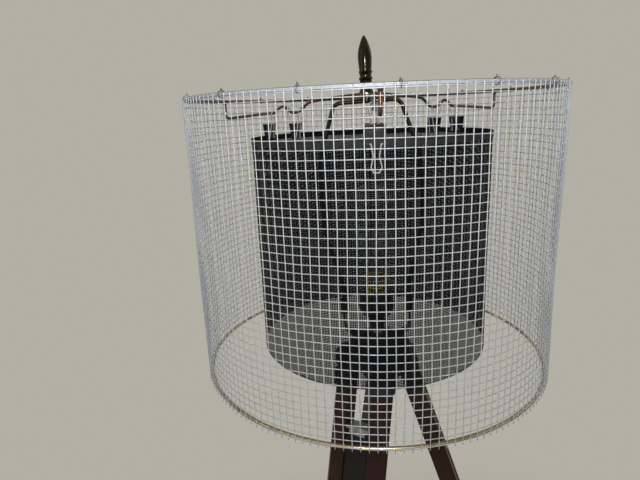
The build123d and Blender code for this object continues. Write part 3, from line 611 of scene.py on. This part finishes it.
glass = Finish("clear_glass")
glass.surface(
    Base_Color=(0.97, 0.98, 0.98),
    Roughness=0.02,
    Transmission_Weight=1.0,
    IOR=1.45,
)
base_tin = worn_metal("tinned_base", (0.50, 0.48, 0.43), (0.78, 0.76, 0.70), 140.0, 0.24)
tungsten = worn_metal("filament_tungsten", (0.22, 0.22, 0.22), (0.5, 0.5, 0.5), 300.0, 0.3)
dress(glass, "bulb_glass", "bulb_stem")
dress(base_tin, "bulb_base")
filament = Shape()
for side in (-1, 1):
    support = ((2.0, SHELL_MOUTH + 0.5), (2.2, STEM_TOP + 1), (8, STEM_TOP + 12),
               (COIL_REACH, STEM_TOP + COIL_RISE))
    filament.wire(through([spot(90, side * reach, rise) for reach, rise in support]), 0.35)
coil = []
for n in range(COIL_STEPS + 1):
    swing = radians(180 * n / COIL_STEPS)
    turn = n * 0.9
    rise = STEM_TOP + COIL_RISE + COIL_BOW * sin(swing) + COIL_R * cos(turn)
    sideways = Vector((0, COIL_R / 1000 * sin(turn), 0))
    coil.append(spot(90, -COIL_REACH * cos(swing), rise) + sideways)
filament.wire(coil, 0.16, 5)
for along in (-7.5, 0.0, 7.5):
    swing = radians(180 * (along + COIL_REACH) / (2 * COIL_REACH))
    top = STEM_TOP + COIL_RISE + COIL_BOW * sin(swing)
    filament.wire([spot(90, along * 0.1, STEM_TOP), spot(90, along * 0.6, (STEM_TOP + top) / 2),
                   spot(90, along, top)], 0.2, 5)
filament.place("filament", tungsten, "stand", "base_metal")


# ---- tripod head -------------------------------------------------------------------------------
# A turned iron head, painted black and rubbed bare here and there. Its three lugs take the hinge
# bolts of the legs.
black_iron = Finish("black_iron")
grain = black_iron.mottle(320.0, 5.0)
rub = black_iron.steps(black_iron.mottle(70.0, 6.0), (0.60, 0.0), (0.75, 1.0))
black_iron.surface(
    Base_Color=black_iron.mix(rub * 0.5, (0.011, 0.011, 0.012), (0.085, 0.080, 0.075)),
    Metallic=0.3 * rub,
    Roughness=0.30 + 0.28 * grain,
    Normal=black_iron.bump(grain, 0.00012),
)
dress(black_iron, "tripod_head", "hinge_bolts")


# ---- legs --------------------------------------------------------------------------------------
# Each leg has two rails of reddish hardwood and a black-stained inner leg that slides between them.
# Iron yokes, straps and bands hold the rails, and an aged brass wing screw clamps the inner leg.
LEGS = {"front": -28.5, "right": 91.5, "rear": 211.5}  # azimuths
SPLAY = 16.4
GRAIN_STRETCH = 0.045
RED_WOOD = ((0.007, 0.0020, 0.0013), (0.050, 0.013, 0.007), 0.36)
BLACK_WOOD = ((0.002, 0.0017, 0.0014), (0.012, 0.010, 0.007), 0.40)


def wood(name, azimuth, dark, light, rough):
    """Long-grained wood: the grain runs down the leg."""
    finish = Finish(name)
    where = finish.place()
    turn, tilt = radians(azimuth), radians(SPLAY)
    across = (cos(turn), sin(turn), 0.0)
    down = (sin(tilt) * sin(turn), -sin(tilt) * cos(turn), -cos(tilt))
    through_leg = (cos(tilt) * sin(turn), -cos(tilt) * cos(turn), sin(tilt))
    parts = [finish.node("VectorMath", {"operation": "DOT_PRODUCT"}, {0: where, 1: axis},
                         out="Value")
             for axis in (across, through_leg, down)]
    parts[2] *= GRAIN_STRETCH
    grain_space = finish.node("CombineXYZ", None, dict(enumerate(parts)))
    broad = finish.mottle(90.0, 6.0, grain_space)
    fine = finish.mottle(900.0, 4.0, grain_space)
    figure = finish.steps(broad, (0.30, 0.0), (0.70, 1.0))
    pores = finish.steps(fine, (0.35, 0.0), (0.55, 1.0))
    finish.surface(
        Base_Color=finish.mix(0.65 * figure + 0.35 * pores, dark, light),
        Roughness=rough + 0.2 * fine,
        Coat_Weight=0.05,
        Specular_IOR_Level=0.25,
        Normal=finish.bump(0.5 * broad + 0.5 * fine, 0.0002),
    )
    return finish


aged_brass = worn_metal("aged_brass", (0.11, 0.085, 0.045), (0.42, 0.34, 0.19), 120.0, 0.30)
cap_metal = worn_metal("grey_cap", (0.16, 0.16, 0.165), (0.42, 0.42, 0.43), 120.0, 0.34)
rubber = Finish("tip_rubber")
grain = rubber.mottle(400.0, 4.0)
rubber.surface(
    Base_Color=rubber.mix(grain, (0.014, 0.014, 0.014), (0.045, 0.044, 0.042)),
    Roughness=0.7 + 0.2 * grain,
    Normal=rubber.bump(grain, 0.0001),
)
for leg, azimuth in LEGS.items():
    dress(wood(f"{leg}_red_wood", azimuth, *RED_WOOD), f"{leg}_rails")
    dress(wood(f"{leg}_black_wood", azimuth, *BLACK_WOOD), f"{leg}_slide")
    dress(black_iron, f"{leg}_yoke", f"{leg}_guide_band", f"{leg}_clamp_strap", f"{leg}_shoe")
    dress(aged_brass, f"{leg}_wing_screw")
    dress(cap_metal, f"{leg}_slide_cap")
    dress(rubber, f"{leg}_tip")


# ---- floor, room, lamps and camera -------------------------------------------------------------
# A pale studio floor that fades into a plain warm grey surround. A small lamp stands right by the
# camera, and a large soft one to either side.
SURROUND = (0.45, 0.43, 0.378)
ROOM_LIGHT, ROOM_STRENGTH = (0.75, 0.74, 0.72), 0.10
FLOOR_FADE = (0.7, 1.25)
FLOOR_REACH = 2.0
FLOOR_GLOW = 0.62
LENS = 27.95               # on a 36 mm wide sensor
CAMERA_PLACE = (0, -0.4787, -0.0142)  # from the middle of the top ring
PITCH, ROLL, YAW = radians(14.49), radians(-2.36), radians(-6.06)


def direct_rays(finish):
    """1 for rays that come from the camera, also by way of glass or shiny metal, else 0."""
    camera_ray, glossy, clear = (finish.node("LightPath", out=f"Is {kind} Ray")
                                 for kind in ("Camera", "Glossy", "Transmission"))
    return finish.math("MAXIMUM", finish.math("MAXIMUM", camera_ray, glossy), clear)


floor_finish = Finish("studio_floor")
x, y = (floor_finish.node("SeparateXYZ", None, {0: floor_finish.place()}, out=n)
        for n in range(2))
away = floor_finish.math("SQRT", x * x + y * y)
fade = floor_finish.node("MapRange", {"interpolation_type": "SMOOTHSTEP"},
                         {"Value": away, "From Min": FLOOR_FADE[0], "From Max": FLOOR_FADE[1],
                          "To Min": 1.0, "To Max": 0.0})
speck = floor_finish.mottle(60.0, 4.0)
floor_finish.surface(
    Base_Color=floor_finish.mix(speck, (0.60, 0.57, 0.51), (0.66, 0.63, 0.57)),
    Roughness=0.8,
    Emission_Color=floor_finish.mix(direct_rays(floor_finish), (0.0, 0.0, 0.0), SURROUND),
    Emission_Strength=FLOOR_GLOW,
    Alpha=fade,
)
floor_mesh = bpy.data.meshes.new("floor")
floor_mesh.from_pydata([(FLOOR_REACH * x, FLOOR_REACH * y, 0)
                        for x, y in ((-1, -1), (1, -1), (1, 1), (-1, 1))], [], [(0, 1, 2, 3)])
floor_mesh.materials.append(floor_finish.material)
floor = bpy.data.objects.new("floor", floor_mesh)
bpy.context.scene.collection.objects.link(floor)

room = Finish("room", bpy.data.worlds)
bpy.context.scene.world = room.material
seen = room.node("Background", None, {"Color": SURROUND})
lit = room.node("Background", None, {"Color": ROOM_LIGHT, "Strength": ROOM_STRENGTH})
room.end("OutputWorld", room.node("MixShader", None, {"Fac": direct_rays(room), 1: lit, 2: seen}))


def soft_lamp(name, place, size, watts):
    """A square lamp that points at the cage's middle."""
    data = bpy.data.lights.new(name, "AREA")
    data.size = size
    data.energy = watts
    data.color = (1.0, 0.985, 0.96)
    lamp = bpy.data.objects.new(name, data)
    lamp.location = place
    aim = Vector((pole.x, pole.y, ring_height - 0.15))
    lamp.rotation_euler = (aim - Vector(place)).to_track_quat("-Z", "Y").to_euler()
    bpy.context.scene.collection.objects.link(lamp)


soft_lamp("left_fill", (pole.x - 1.6, pole.y - 0.8, 1.7), size=1.2, watts=2.4)
soft_lamp("right_fill", (pole.x + 1.6, pole.y + 0.5, 1.9), size=1.2, watts=2.2)

camera_data = bpy.data.cameras.new("camera")
camera_data.lens = LENS
camera_data.sensor_width = 36.0
camera_data.clip_start = 0.02
camera = bpy.data.objects.new("camera", camera_data)
ahead = Vector((sin(YAW) * cos(PITCH), cos(YAW) * cos(PITCH), -sin(PITCH)))
level_right = Vector((cos(YAW), -sin(YAW), 0))
level_up = Vector((sin(YAW) * sin(PITCH), cos(YAW) * sin(PITCH), cos(PITCH)))
right = cos(ROLL) * level_right + sin(ROLL) * level_up
upward = -sin(ROLL) * level_right + cos(ROLL) * level_up
turned_to = Matrix((right, upward, -ahead)).transposed().to_4x4()
camera.matrix_world = shade_frame @ Matrix.Translation(CAMERA_PLACE) @ turned_to
bpy.context.scene.collection.objects.link(camera)
bpy.context.scene.camera = camera
over_the_lens = camera.matrix_world.translation + Vector((0.01, -0.01, 0.04))
soft_lamp("by_the_camera", over_the_lens, size=0.03, watts=1.25)
bpy.context.scene.view_settings.view_transform = "Standard"
